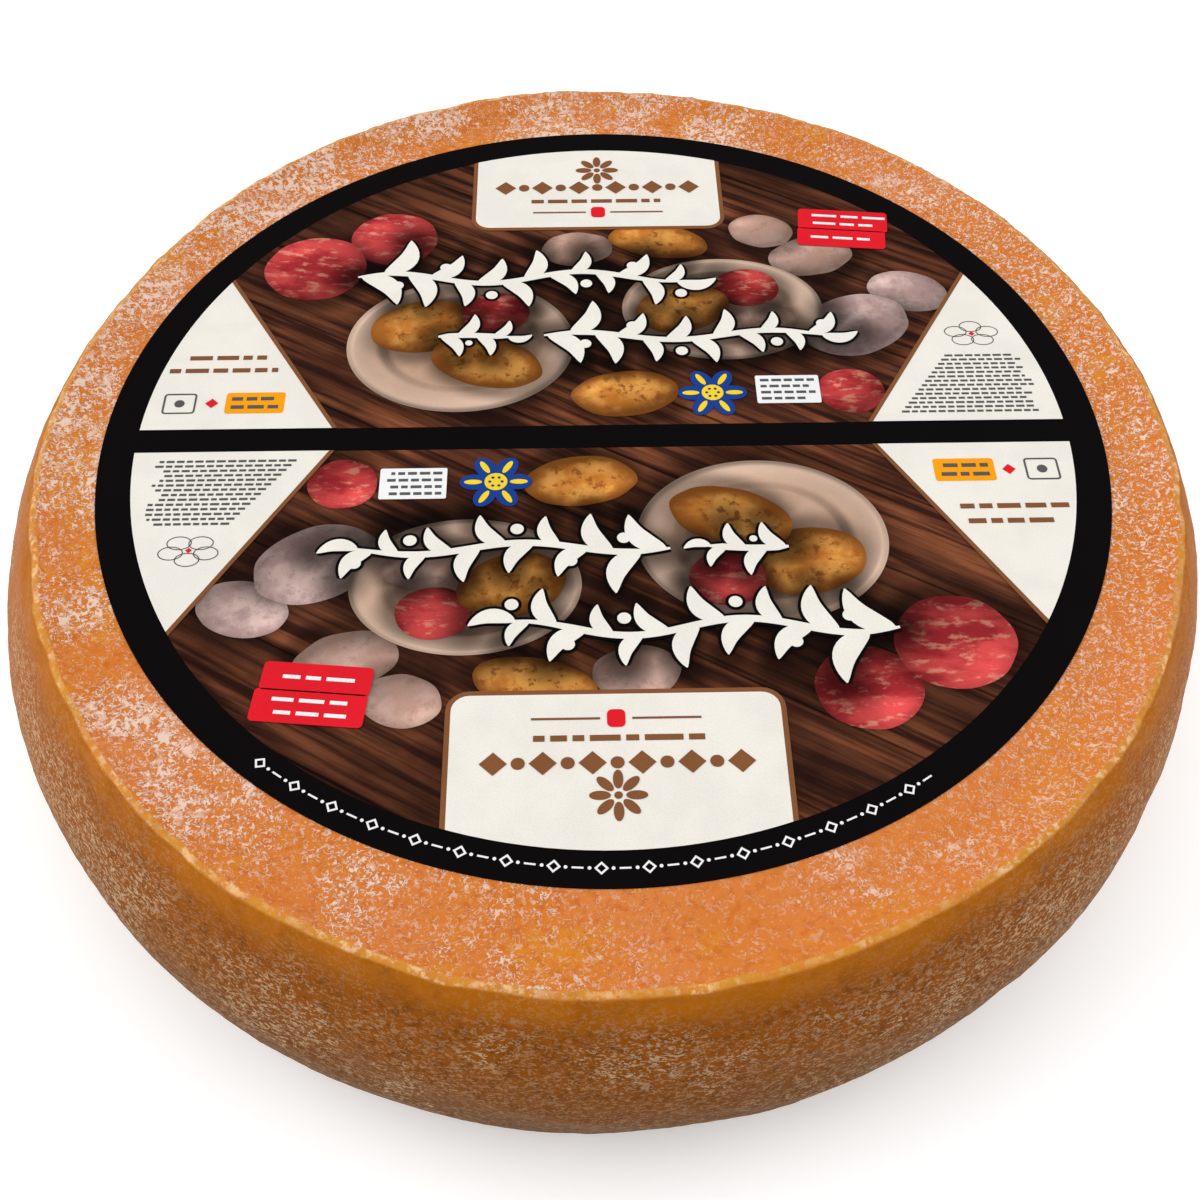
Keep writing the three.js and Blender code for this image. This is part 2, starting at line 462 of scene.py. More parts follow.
def rindMaterial(plan):
    material, tree, shader, where = newMaterial("washed rind", plan.roughness, plan.specular)
    fromRidge = attribute(tree, "fromRidge")
    curls = curlGroup()
    across, deep, _ = addNode(tree, "ShaderNodeSeparateXYZ", {0: where}).outputs
    right = remap(tree, across, 0.02, 0.12)
    frontRight = remap(tree, deep, -0.07, -0.01, 1.0, 0.0)        # calmer there: lighter and less bloom
    frontRight = times(tree, frontRight, remap(tree, across, 0.0, 0.07))

    # wobble the zones so that no border is a clean circle
    wobble = calc(tree, "SUBTRACT", grain(tree, where, 130, detail=4.0), 0.5)
    wobble = times(tree, wobble, plan.wobble)
    zone = calc(tree, "ADD", fromRidge, wobble)
    onSide = remap(tree, fromRidge, 0.4 * mm, 0.8 * mm)

    # colours of the top
    broad = grain(tree, where, 22, detail=2.0)
    middling = grain(tree, spread(tree, where, shift=(0.7, 0.2, 0.1)), 60, detail=3.0, roughness=0.6)
    fine = grain(tree, where, 420, detail=3.0, roughness=0.65)
    tiny = grain(tree, where, 1300, detail=2.0, roughness=0.6)
    colour = blend(tree, remap(tree, broad, 0.42, 0.62), plan.orange, plan.peach)
    colour = blend(tree, remap(tree, middling, 0.5, 0.64), colour, plan.golden)
    colour = blend(tree, remap(tree, fine, 0.46, 0.68, 0.0, 0.62), colour, plan.deep)
    colour = blend(tree, times(tree, frontRight, 0.4), colour, plan.peach)

    # colours of the side, ochre under the ridge and darker towards the foot: partly the rind's own duller
    # brown and partly painted shade, as less light reaches the lower side
    sideColour = blend(tree, remap(tree, zone, 8 * mm, 50 * mm), plan.sideTop, plan.sideFootToneAndShade)
    sideColour = blend(tree, remap(tree, fine, 0.46, 0.66, 0.0, 0.55), sideColour, plan.sideDark)
    # the flanks to the left and right are lighter and more orange than the front: partly the rind's own
    # colour and partly painted light, with the front of the side in painted shade
    behind = remap(tree, deep, 0.05, 0.14, 1.0, 0.55)
    flankToneAndLight = times(tree, remap(tree, deep, -0.13, -0.03), behind)
    sideColour = blend(tree, times(tree, flankToneAndLight, 0.6), sideColour, plan.flankToneAndLight)
    under = remap(tree, zone, 2 * mm, 9 * mm, 1.0, 0.0)
    under = times(tree, under, remap(tree, middling, 0.35, 0.5, 0.5, 1.0))
    sideColour = blend(tree, under, sideColour, plan.underRidge)
    colour = blend(tree, onSide, colour, sideColour)

    # the bloom: slow patches say how much of it there is, and the curls give its form
    moved = spread(tree, where, shift=(0.13, 0.4, 0.2))
    patches = grain(tree, moved, plan.patches, detail=5.0, roughness=0.65)
    patches = calc(tree, "ADD", patches, times(tree, deep, plan.bloomToBack))
    patches = calc(tree, "SUBTRACT", patches, times(tree, across, plan.bloomToLeft))
    patches = calc(tree, "ADD", patches, remap(tree, across, -0.12, -0.04, 0.025, 0.0))
    amount = remap(tree, patches, 0.42, 0.62)

    def curl(place, style):
        settings = dict(zip(("Scale", "Width", "Gaps"), style), Where=place)
        return useGroup(tree, curls, settings)["Strokes"]

    strokes = curl(where, plan.strokes)
    more = curl(spread(tree, where, shift=(0.9, 0.5, 0.3)), plan.fineStrokes)
    thin = calc(tree, "MAXIMUM", amount, times(tree, right, 0.68))
    thin = calc(tree, "MINIMUM", thin, remap(tree, across, 0.0, 0.08, 1.0, 0.64))
    thin = calc(tree, "SUBTRACT", thin, times(tree, frontRight, 0.3))
    strokes = times(tree, strokes, calc(tree, "ADD", thin, 0.3, clamp=True))
    more = times(tree, more, calc(tree, "ADD", thin, 0.1, clamp=True))
    fineBloom = calc(tree, "MAXIMUM", strokes, more)
    webs = curl(spread(tree, where, shift=(0.4, 0.8, 0.6)), plan.webs)
    flakes = remap(tree, grain(tree, where, 420, detail=4.0, roughness=0.6, distortion=0.9), 0.55, 0.6)
    dense = times(tree, calc(tree, "MAXIMUM", webs, flakes), remap(tree, patches, 0.54, 0.63))
    toFront = remap(tree, deep, 0.02, 0.1, 1.0, 0.0)
    dense = times(tree, dense, calc(tree, "SUBTRACT", 1.0, times(tree, right, toFront)))
    topBloom = calc(tree, "MAXIMUM", fineBloom, times(tree, dense, plan.denseCover))
    flat = spread(tree, where, size=(1, 1, plan.sideFlatten))
    streaks = curl(flat, plan.sideStrokes)
    fineStreaks = curl(spread(tree, flat, shift=(0.2, 0.6, 0.1)), plan.fineSideStrokes)
    lower = remap(tree, zone, 2 * mm, 16 * mm, 0.18, 1.0)
    sideAmount = calc(tree, "ADD", amount, times(tree, right, 0.5))
    sideAmount = calc(tree, "ADD", sideAmount, 0.36, clamp=True)
    sideBloom = calc(tree, "MAXIMUM", streaks, fineStreaks)
    sideBloom = times(tree, sideBloom, times(tree, lower, sideAmount))
    bloomColour = blend(tree, onSide, plan.bloom, plan.sideBloom)
    bloom = blend(tree, onSide, topBloom, sideBloom)
    colour = blend(tree, times(tree, bloom, plan.cover), colour, bloomColour)

    # the ridge: golden, worn pale in spots
    steady = calc(tree, "ADD", fromRidge, times(tree, wobble, 0.35))
    fromCrest = calc(tree, "ABSOLUTE", calc(tree, "SUBTRACT", steady, 0.2 * mm))
    crest = remap(tree, fromCrest, 0.2 * mm, 0.8 * mm, 1.0, 0.0)
    crumbs = remap(tree, grain(tree, where, 260, detail=3.0), 0.38, 0.56, 0.45, 1.0)
    crest = times(tree, crest, crumbs)
    frontness = remap(tree, deep, -0.02, 0.11, 0.95, 0.5)
    colour = blend(tree, times(tree, crest, frontness), colour, plan.ridge)
    worn = remap(tree, grain(tree, where, 420, detail=4.0, roughness=0.65), 0.46, 0.6, 0.0, 0.85)
    stretches = grain(tree, spread(tree, where, shift=(0.2, 0.9, 0.4)), 75, detail=3.0)
    stretches = remap(tree, stretches, 0.46, 0.57, 0.3, 1.0)
    nearCrest = remap(tree, fromCrest, 0.2 * mm, 0.6 * mm, 1.0, 0.0)
    worn = times(tree, worn, stretches)
    colour = blend(tree, times(tree, worn, nearCrest), colour, plan.wornRidge)
    tree.links.new(colour, shader.inputs["Base Color"])

    height = calc(tree, "ADD", times(tree, bloom, 0.5), times(tree, fine, 0.7))
    height = calc(tree, "ADD", height, times(tree, tiny, 0.4))
    addBump(tree, shader, height, 0.7, plan.bump)
    rough = remap(tree, bloom, 0.0, 1.0, plan.roughness, plan.bloomRoughness)
    tree.links.new(rough, shader.inputs["Roughness"])
    return material


# The label: black paper with a print of thin coloured sheets, drawn for one half in millimetres
# (x to the right, y away from the bar) and laid down twice, turned half round the second time

labelPlan = SimpleNamespace(
    halfX=125.0,
    squash=0.975,        # the label is this much narrower front to back
    turn=math.radians(1.45),
    fieldRadius=116.5,
    barHalf=3.9,
    panelFoot=67.6,        # where a side panel's slanting edge leaves the bar
    panelSlant=math.radians(60),
    paperTop=0.25,
    inkWall=0.045 * mm,
    discSteps=240,
)
levels = SimpleNamespace(        # heights over the label's foot, in mm
    ground=0.3, things=0.34, panel=0.5, panelInk=0.55, halo=0.55, leaves=0.6,
    sticker=0.6, stickerInk=0.65,
)

halfPlans = {
    "back": SimpleNamespace(
        turn=0.0, seed=3, nameLeft=-34.5, nameRight=35.0, nameFoot=81.4,
        tagShift=(0.0, 0.0), flowerAt=(28.3, 14.7), boxAt=(47.8, 15.7),
        ringOrnament=False),
    "front": SimpleNamespace(
        turn=math.pi, seed=8, nameLeft=-37.0, nameRight=35.0, nameFoot=78.0,
        tagShift=(-3.5, -2.4), flowerAt=(26.6, 15.1), boxAt=(46.8, 15.3),
        ringOrnament=True),
}


def at(x, y, level, width=1.0, height=1.0, turn=0.0):
    return (Matrix.Translation((x, y, level)) @ Matrix.Rotation(turn, 4, "Z")
            @ Matrix.Diagonal((width, height, 1, 1)))


def bar(bm, x, y, width, height, level, turn=0.0):
    return bmesh.ops.create_grid(bm, x_segments=1, y_segments=1, size=0.5,
                                 matrix=at(x, y, level, width, height, turn))["verts"]


def spot(bm, x, y, width, height, level, corners=28, turn=0.0):
    return bmesh.ops.create_circle(bm, cap_ends=True, segments=corners, radius=0.5,
                                   matrix=at(x, y, level, width, height, turn))["verts"]


def hoop(bm, verts, band):        # keeps only a band along the edge of one flat shape
    face = verts[0].link_faces[0]
    bmesh.ops.inset_individual(bm, faces=[face], thickness=band, use_even_offset=True)
    bmesh.ops.delete(bm, geom=[face], context="FACES")


def roundBar(bm, x, y, width, height, level, corner, turn=0.0):
    verts = bar(bm, x, y, width, height, level, turn)
    made = bmesh.ops.bevel(bm, geom=verts, offset=corner, segments=5, profile=0.5, affect="VERTICES",
                           material=-1)
    return made["verts"]


def wordRow(bm, rng, x0, x1, y, height, level, longest=7.0):        # plain dashes as long as words
    x = x0
    while x < x1 - height:
        length = min(rng.uniform(1.6, longest) * height ** 0.5, x1 - x)
        bar(bm, x + length / 2, y, length, height, level)
        x += length + height * 0.8


def cut(bm, place, normal):        # drops all that lies ahead of the plane
    bmesh.ops.bisect_plane(bm, geom=bm.verts[:] + bm.edges[:] + bm.faces[:], dist=1e-5,
                           plane_co=place, plane_no=normal, clear_outer=True)


def cutToField(bm, first, last, steps):        # trims to the field's circle between two directions
    for i in range(steps + 1):
        turn = math.radians(first + (last - first) * i / steps)
        out = Vector((math.cos(turn), math.sin(turn), 0))
        cut(bm, out * labelPlan.fieldRadius, out)


def slantNormal(side):        # square to a side panel's slanting edge, away from the picture
    slant = labelPlan.panelSlant
    return Vector((side * math.sin(slant), -math.cos(slant), 0))


def sidePanel(bm, side):
    plan = labelPlan
    made = bmesh.new()
    bmesh.ops.create_circle(made, cap_ends=True, segments=plan.discSteps, radius=plan.fieldRadius)
    cut(made, (0, plan.barHalf, 0), (0, -1, 0))
    cut(made, (side * plan.panelFoot, plan.barHalf, 0), -slantNormal(side))
    bmesh.ops.translate(made, verts=made.verts[:], vec=(0, 0, levels.panel))
    joinInto(bm, made)


def joinInto(bm, made):
    mesh = bpy.data.meshes.new("part")
    made.to_mesh(mesh)
    made.free()
    bm.from_mesh(mesh)
    bpy.data.meshes.remove(mesh)


def namePanel(bm, half, grow, level):        # runs out to the black ring, rounded on its inner side
    made = bmesh.new()
    left, right, foot = half.nameLeft - grow, half.nameRight + grow, half.nameFoot - grow
    bmesh.ops.create_grid(made, x_segments=1, y_segments=1, size=0.5,
                          matrix=at((left + right) / 2, foot + 30, level, right - left, 60))
    corners = [v for v in made.verts if v.co.y < foot + 1]
    bmesh.ops.bevel(made, geom=corners, offset=4.0 + grow, segments=6, profile=0.5, affect="VERTICES",
                    material=-1)
    cutToField(made, 66, 114, 24)        # on its far side
    joinInto(bm, made)


def stroke(bm, path, level):        # a ribbon along points of x, y and width
    verts = bmesh.ops.create_grid(bm, x_segments=len(path) - 1, y_segments=1, size=0.5)["verts"]
    verts.sort(key=lambda v: (round(v.co.x, 5), v.co.y))
    for i, (x, y, width) in enumerate(path):
        before, after = path[max(i - 1, 0)], path[min(i + 1, len(path) - 1)]
        along = Vector((after[0] - before[0], after[1] - before[1])).normalized()
        across = Vector((-along.y, along.x)) * width / 2
        verts[2 * i].co = (x - across.x, y - across.y, level)
        verts[2 * i + 1].co = (x + across.x, y + across.y, level)


# The garland: leafy branches with berries, over the picture

Branch = namedtuple("Branch", "start end y rise knots leaf")        # leaf: a leaf's length
garlandPlan = SimpleNamespace(
    branches=[
        Branch(-66, 24, 60.0, 2.2, 7, 13.5),
        Branch(-15, 61, 36.2, 1.6, 6, 12.0),
        Branch(-43, -24, 36.5, 0.6, 2, 8.0),
    ],
    leafWidth=0.36,        # of its length
    leafSplay=math.radians(60),
    leafBend=0.2,
    stemWidth=1.9,
    berry=3.2,
    outline=1.5,
    haloReach=10.0,
    haloDepth=0.8,
)


def leafPath(plan, root, turn, length, side):        # almond-shaped, bent back towards the stem
    forward = Vector((math.cos(turn), math.sin(turn)))
    sideways = Vector((-forward.y, forward.x)) * side
    path = []
    for i in range(15):
        s = i / 14
        point = root + forward * length * s - sideways * length * plan.leafBend * math.sin(math.pi * s)
        width = length * plan.leafWidth * math.sin(math.pi * s ** 0.85) ** 0.8 + 0.25
        path.append((point.x, point.y, width))
    return path


def garlandPaths(plan):
    paths, berries = [], []
    for branch in plan.branches:
        length = branch.end - branch.start

        def stem(t):
            rise = branch.rise * math.sin(math.pi * branch.knots * t * 0.5 + 0.4)
            return Vector((branch.start + length * t, branch.y + rise))

        path = []
        for i in range(61):
            t = i / 60
            path.append((*stem(t), plan.stemWidth * min(1.0, 0.35 + 5 * t, 0.3 + 4 * (1 - t))))
        paths.append(path)
        for k in range(branch.knots):
            for side in (1, -1):
                t = (k + 0.3 + 0.24 * side) / branch.knots
                along = stem(t + 0.01) - stem(t)
                turn = math.atan2(along.y, along.x) + side * plan.leafSplay
                size = branch.leaf * (1.15 if k == 0 else 1 - 0.05 * k + 0.12 * math.sin(k * 2.6 + side))
                paths.append(leafPath(plan, stem(t), turn, size, side))
            side = 1 if k % 2 else -1
            away = stem((k + 0.86) / branch.knots) + Vector((0, side * branch.leaf * 0.36))
            berries.append((away.x, away.y, plan.berry * (0.6 if branch.knots < 3 else 1)))
        paths.append(leafPath(plan, stem(0.97), 0.1, branch.leaf * 0.8, 1))
    return paths, berries


# The picture: a plain still life on dark planks, each thing modelled in the round, its light kept as
# an attribute, then pressed flat

pictureLight = Vector((-0.42, 0.5, 0.76)).normalized()
Thing = namedtuple("Thing", "name at size turn high wobble")
things = [Thing(*row) for row in (        # the later ones lie over the earlier
    ("onion", (84, 53), (11, 8), -0.3, 8.0, 0.05),
    ("onion", (68, 40), (15, 11), 0.4, 11.0, 0.06),
    ("apple", (-57, 77), (12, 11), 0.0, 10.0, 0.04),
    ("apple", (-78, 65), (14, 13), 0.2, 12.0, 0.04),
    ("apple", (64, 15), (8.5, 8), 0.1, 8.0, 0.04),
    ("mushroom", (59, 68), (12, 8), 0.3, 8.0, 0.06),
    ("mushroom", (46, 79), (9, 7), -0.2, 7.0, 0.05),
    ("mushroom", (-6, 72), (10, 7), 0.1, 7.0, 0.06),
    ("bun", (17, 75), (14, 7), -0.2, 8.0, 0.05),
    ("bun", (6, 15), (14, 8), 0.1, 8.0, 0.05),
    ("dish", (-37, 34), (30, 25), 0.0, 9.0, 0.0),
    ("dish", (33, 47), (27, 20), 0.0, 8.0, 0.0),
    ("bun", (-47, 41), (14, 10), 0.2, 8.0, 0.05),
    ("apple", (-28, 46), (9, 8), 0.0, 7.0, 0.04),
    ("bun", (-30, 27), (15, 9), -0.3, 8.0, 0.05),
    ("mushroom", (44, 41), (9, 7), 0.2, 6.0, 0.05),
    ("apple", (40, 55), (9, 7.5), 0.0, 7.0, 0.04),
    ("bun", (22, 47), (13, 9), 0.3, 8.0, 0.05),
)]


def thingHeight(thing, t):
    high = thing.high
    if thing.name == "dish":
        return high * (fade(t, 0.62, 0.74) + 0.25 * fade(t, 0.74, 0.96) - 0.8 * fade(t, 0.965, 1.0))
    return high * math.sqrt(max(1 - t * t, 0))


def thingPlace(thing, t, angle):
    bumps = noise.noise((math.cos(angle) * 1.7, math.sin(angle) * 1.7, thing.at[0]))
    reach = t * (1 + thing.wobble * bumps)
    across, deep = thing.size
    local = Vector((reach * across * math.cos(angle), reach * deep * math.sin(angle)))
    local.rotate(Matrix.Rotation(thing.turn, 2))
    return local + Vector(thing.at)


def sharePolar(bm, rings, spokes):        # a disc of radius 1, cut into rings and spokes
    ends = [bm.verts.new((0, 0, 0)), bm.verts.new((1, 0, 0))]
    bmesh.ops.subdivide_edges(bm, edges=[bm.edges.new(ends)], cuts=rings - 1)
    spinRound(bm, spokes, 1e-6)
    if bm.faces[0].normal.z < 0:
        bmesh.ops.reverse_faces(bm, faces=bm.faces[:])


def contactShade(x, y, upTo):        # soft shadows of the things that lie above
    shade = 1.0
    for thing in things[upTo:]:
        local = Vector((x - thing.at[0] - 1.5, y - thing.at[1] + 2.0))
        local.rotate(Matrix.Rotation(-thing.turn, 2))
        across, deep = thing.size
        near = math.hypot(local.x / (across + 2), local.y / (deep + 2))
        shade = min(shade, 0.4 + 0.6 * fade(near, 0.8, 1.25))
    return shade


def haloShade(tree, x, y):
    gap = tree.find((x, y, 0))[2] - garlandPlan.stemWidth / 2
    return 1 - garlandPlan.haloDepth * (1 - fade(gap, 0.5, garlandPlan.haloReach))


def trimToPicture(bm):
    plan = labelPlan
    if max(v.co.xy.length for v in bm.verts) > plan.fieldRadius * 1.0005:
        cutToField(bm, 0, 180, 59)        # the whole half
    cut(bm, (0, plan.barHalf, 0), (0, -1, 0))
    for side in (-1, 1):
        cut(bm, (side * plan.panelFoot, plan.barHalf, 0), slantNormal(side))


def picturePieces(tree):        # one mesh for the planks and one for each kind of thing
    sheets = {"planks": bmesh.new()}
    ground = sheets["planks"]
    sharePolar(ground, 100, 420)
    bmesh.ops.scale(ground, verts=ground.verts[:], vec=Vector((1, 1, 1)) * labelPlan.fieldRadius)
    trimToPicture(ground)
    lightLayer = ground.verts.layers.float.new("light")
    for v in ground.verts:
        x, y = v.co.x, v.co.y
        edge = 1 - 0.45 * fade(math.hypot(x, y), 85, 118)
        v[lightLayer] = edge * contactShade(x, y, 0) * haloShade(tree, x, y)
        v.co.z = levels.ground
    for order, thing in enumerate(things):
        made = bmesh.new()
        rings = 40 if thing.name == "dish" else 18
        sharePolar(made, rings, rings * 4)
        reaches = [v.co.length for v in made.verts]
        for v in made.verts:
            t, angle = math.hypot(v.co.x, v.co.y), math.atan2(v.co.y, v.co.x)
            place = thingPlace(thing, t, angle)
            v.co = (place.x, place.y, thingHeight(thing, t))
        made.normal_update()
        lightLayer = made.verts.layers.float.new("light")
        rimLayer = made.verts.layers.float.new("rim")
        for v, t in zip(made.verts, reaches):
            v[rimLayer] = t
            glance = max(v.normal.dot(pictureLight), 0)
            lit = 0.42 + 0.6 * glance + 0.3 * glance ** 18
            v[lightLayer] = lit * contactShade(v.co.x, v.co.y, order + 1) * haloShade(tree, v.co.x, v.co.y)
            v.co.z = levels.things + 0.009 * order
        trimToPicture(made)
        joinInto(sheets.setdefault(thing.name, bmesh.new()), made)
    return sheets


# Inks and printed surfaces

def printGroup():        # colour times light, with the paper's grain in colour and height
    inputs = [("Where", "Vector"), ("Colour", "Color"), ("Light", "Float")]
    group, given, result = newGroup("printed paper", inputs, [("Colour", "Color"), ("Height", "Float")])
    fibres = grain(group, given["Where"], 2600, detail=2.0)
    slow = grain(group, given["Where"], 90, detail=2.0)
    tone = times(group, given["Light"], remap(group, fibres, 0.3, 0.7, 0.96, 1.03))
    tone = times(group, tone, remap(group, slow, 0.35, 0.65, 0.97, 1.02))
    grey = addNode(group, "ShaderNodeCombineColor", {0: tone, 1: tone, 2: tone}).outputs[0]
    group.links.new(blend(group, 1.0, given["Colour"], grey, "MULTIPLY"), result["Colour"])
    group.links.new(fibres, result["Height"])
    return group


paperPlan = SimpleNamespace(roughness=0.45, specular=0.02, bump=0.02 * mm)


def printMaterial(name, paint):        # paint gives the colour from the tree and the place
    material, tree, shader, where = newMaterial(name, paperPlan.roughness, paperPlan.specular)
    colour, light = paint(tree, where)
    printed = useGroup(tree, bpy.data.node_groups["printed paper"],
                       {"Where": where, "Colour": colour, "Light": light})
    tree.links.new(printed["Colour"], shader.inputs["Base Color"])
    addBump(tree, shader, printed["Height"], 0.3, paperPlan.bump)
    return material


def ink(colour):
    return lambda tree, where: (colour, 1.0)


def planksPaint(tree, where):        # boards that run from back left to front right
    turned = spread(tree, where, turn=(0, 0, 0.5))
    fibre = grain(tree, spread(tree, turned, size=(16, 330, 1)), 1.0, detail=5.0, roughness=0.62)
    slow = grain(tree, spread(tree, turned, size=(14, 90, 1)), 1.0, detail=3.0)
    colour = blend(tree, remap(tree, fibre, 0.38, 0.64), (0.034, 0.01, 0.006, 1), (0.27, 0.085, 0.036, 1))
    shaded = blend(tree, 0.55, colour, (0.035, 0.012, 0.008, 1))
    colour = blend(tree, remap(tree, slow, 0.36, 0.6), colour, shaded)
    burnt = remap(tree, grain(tree, turned, 26.0, detail=3.0), 0.42, 0.62, 0.0, 0.7)
    colour = blend(tree, burnt, colour, (0.02, 0.006, 0.004, 1))
    along = addNode(tree, "ShaderNodeSeparateXYZ", {0: turned}).outputs[1]
    board = calc(tree, "PINGPONG", along, 0.011)
    seam = remap(tree, board, 0.0, 0.0006, 0.25, 1.0)
    return colour, times(tree, attribute(tree, "light"), seam)


def spotted(light, dark, spots, scale, stretch=(1, 1, 1), amount=0.8, rim=None):        # rim colours the edge
    def paint(tree, where):
        slow = grain(tree, spread(tree, where, size=stretch), scale, detail=4.0, roughness=0.6)
        fine = grain(tree, spread(tree, where, size=stretch, shift=(0.3, 0.1, 0)), scale * 3.5, detail=3.0,
                     roughness=0.65)
        colour = blend(tree, remap(tree, slow, 0.4, 0.62), light, dark)
        colour = blend(tree, remap(tree, fine, 0.52, 0.66, 0.0, amount), colour, spots)
        if rim:
            ragged = times(tree, calc(tree, "SUBTRACT", slow, 0.5), 0.9)
            ragged = calc(tree, "ADD", attribute(tree, "rim"), ragged)
            colour = blend(tree, remap(tree, ragged, 0.5, 0.98), colour, rim)
        return colour, attribute(tree, "light")
    return paint


paints = {
    "planks": planksPaint,
    "onion": spotted((0.56, 0.4, 0.36, 1), (0.42, 0.27, 0.25, 1), (0.3, 0.2, 0.18, 1), 110, amount=0.5),
    "dish": spotted((0.52, 0.33, 0.23, 1), (0.45, 0.27, 0.18, 1), (0.58, 0.4, 0.3, 1), 20, amount=0.3,
                    rim=(0.6, 0.42, 0.32, 1)),
    "bun": spotted((0.7, 0.32, 0.07, 1), (0.5, 0.17, 0.026, 1), (0.24, 0.06, 0.012, 1), 110,
                   rim=(0.34, 0.11, 0.018, 1)),
    "apple": spotted((0.56, 0.06, 0.06, 1), (0.3, 0.02, 0.024, 1), (0.74, 0.36, 0.24, 1), 60, (1, 2.2, 1),
                     amount=0.45),
    "mushroom": spotted((0.55, 0.36, 0.3, 1), (0.45, 0.27, 0.21, 1), (0.3, 0.15, 0.1, 1), 80, amount=0.4),
}
inks = {
    "black": (0.0026, 0.0018, 0.002, 1),
    "cream": (0.745, 0.71, 0.645, 1),
    "brown": (0.2, 0.078, 0.03, 1),
    "red": (0.66, 0.012, 0.022, 1),
    "orange": (0.82, 0.31, 0.006, 1),
    "white": (0.77, 0.77, 0.77, 1),
    "grey": (0.09, 0.085, 0.085, 1),
    "yellow": (0.82, 0.58, 0.02, 1),
    "blue": (0.01, 0.045, 0.24, 1),
}


# Flat inks of one half, one function for each part of the print. Sheets hold a mesh for each ink.

panelLine = SimpleNamespace(length=78.0, spare=8.0, width=1.1, ends=(47, 71))        # ends: degrees off +y


def drawSidePanels(sheets):        # cream, with a brown line along the slanting edge
    plan = labelPlan
    slant, half = plan.panelSlant, panelLine.length / 2
    for side in (-1, 1):
        sidePanel(sheets["cream"], side)
        line = bmesh.new()
        x, y = plan.panelFoot + half * math.cos(slant), plan.barHalf + half * math.sin(slant)
        bar(line, side * x, y, panelLine.length + panelLine.spare, panelLine.width,
            levels.panelInk, slant if side > 0 else math.pi - slant)
        cut(line, (0, plan.barHalf, 0), (0, -1, 0))
        cutToField(line, *(90 - side * end for end in panelLine.ends), 8)
        joinInto(sheets["brown"], line)


def ringOf(bm, middle, count, reach, size, level):        # spots turned round a middle
    for i in range(count):
        turn = fullTurn * i / count
        spot(bm, middle[0] + reach * math.cos(turn), middle[1] + reach * math.sin(turn), *size,
             level + 0.002 * i, turn=turn)


namePlan = SimpleNamespace(        # heights are over the panel's foot
    border=1.2,
    rosette=25.6, petals=8, petalReach=3.9, petal=(4.6, 2.2), heart=1.8,
    row=17.6, rowStep=5.3, rowReach=5, lozenge=(6.0, 5.8), bead=3.0,
    words=11.4, wordsFrom=-19, wordsTo=18, wordThick=1.5,
    rule=6.4, ruleAway=11.0, ruleSize=(15.0, 0.55), square=(4.0, 4.6), corner=1.2,
)


def drawName(sheets, half, rng):        # a rosette, a row of lozenges and beads, a rule with a red square
    plan = namePlan
    brown = sheets["brown"]
    namePanel(brown, half, plan.border, levels.panel)
    namePanel(sheets["cream"], half, 0.0, levels.panelInk)
    middle = (half.nameLeft + half.nameRight) / 2
    foot, level = half.nameFoot, levels.stickerInk
    rosette = (middle, foot + plan.rosette)
    ringOf(brown, rosette, plan.petals, plan.petalReach, plan.petal, level)
    spot(brown, *rosette, plan.heart, plan.heart, level)
    for i in range(-plan.rowReach, plan.rowReach + 1):
        x, y = middle + i * plan.rowStep, foot + plan.row
        if i % 2:
            spot(brown, x, y, *plan.lozenge, level, corners=4)
        else:
            spot(brown, x, y, plan.bead, plan.bead, level)
    wordRow(brown, rng, middle + plan.wordsFrom, middle + plan.wordsTo, foot + plan.words,
            plan.wordThick, level)
    for side in (-1, 1):
        bar(brown, middle + side * plan.ruleAway, foot + plan.rule, *plan.ruleSize, level)
    roundBar(sheets["red"], middle, foot + plan.rule, *plan.square, level, plan.corner)


tagPlan = SimpleNamespace(
    bars=((69.6, 82.9, 25.2, 8.7, 2),        # x, y, width, height, rows of rules
             (68.4, 75.2, 24.6, 7.6, 1)),
    lean=-0.1,
    corner=1.1,
    rowGap=3.4,
    ruleFrom=-8.5,
    ruleTo=8.0,
    rule=(3.0, 7.0),        # shortest and longest
    ruleThick=0.95,
    ruleGap=1.2,
)


def drawTag(sheets, half, rng):        # two red bars with plain rules
    plan = tagPlan
    dx, dy = half.tagShift
    lean = plan.lean
    for x, y, width, height, rows in plan.bars:
        x, y = x + dx, y + dy
        roundBar(sheets["red"], x, y, width, height, levels.sticker, plan.corner, lean)
        for i in range(rows):
            shift = (i - (rows - 1) / 2) * plan.rowGap
            start = x + plan.ruleFrom
            while start < x + plan.ruleTo:
                length = rng.uniform(*plan.rule)
                middle = start + length / 2
                bar(sheets["white"], middle, y + shift + lean * (middle - x), length, plan.ruleThick,
                    levels.stickerInk, lean)
                start += length + plan.ruleGap


flowerPlan = SimpleNamespace(
    petals=6,
    petalReach=5.2, petal=(7.4, 5.0),
    veinReach=5.6, vein=(4.4, 1.5),
    heart=5.6,
    seedReach=1.5, seed=(0.8, 0.8),
)


def drawFlower(sheets, place):        # blue petals with yellow veins and a yellow heart
    plan = flowerPlan
    blue, yellow, count = sheets["blue"], sheets["yellow"], plan.petals
    ringOf(blue, place, count, plan.petalReach, plan.petal, levels.panelInk)
    ringOf(yellow, place, count, plan.veinReach, plan.vein, levels.sticker)
    spot(yellow, *place, plan.heart, plan.heart, levels.stickerInk)
    ringOf(blue, place, count, plan.seedReach, plan.seed, levels.stickerInk + 0.03)


boxPlan = SimpleNamespace(
    size=(16.4, 10.0), corner=0.5,
    rows=4, rowGap=2.2, top=3.3, reach=7.0, thick=0.9,
)


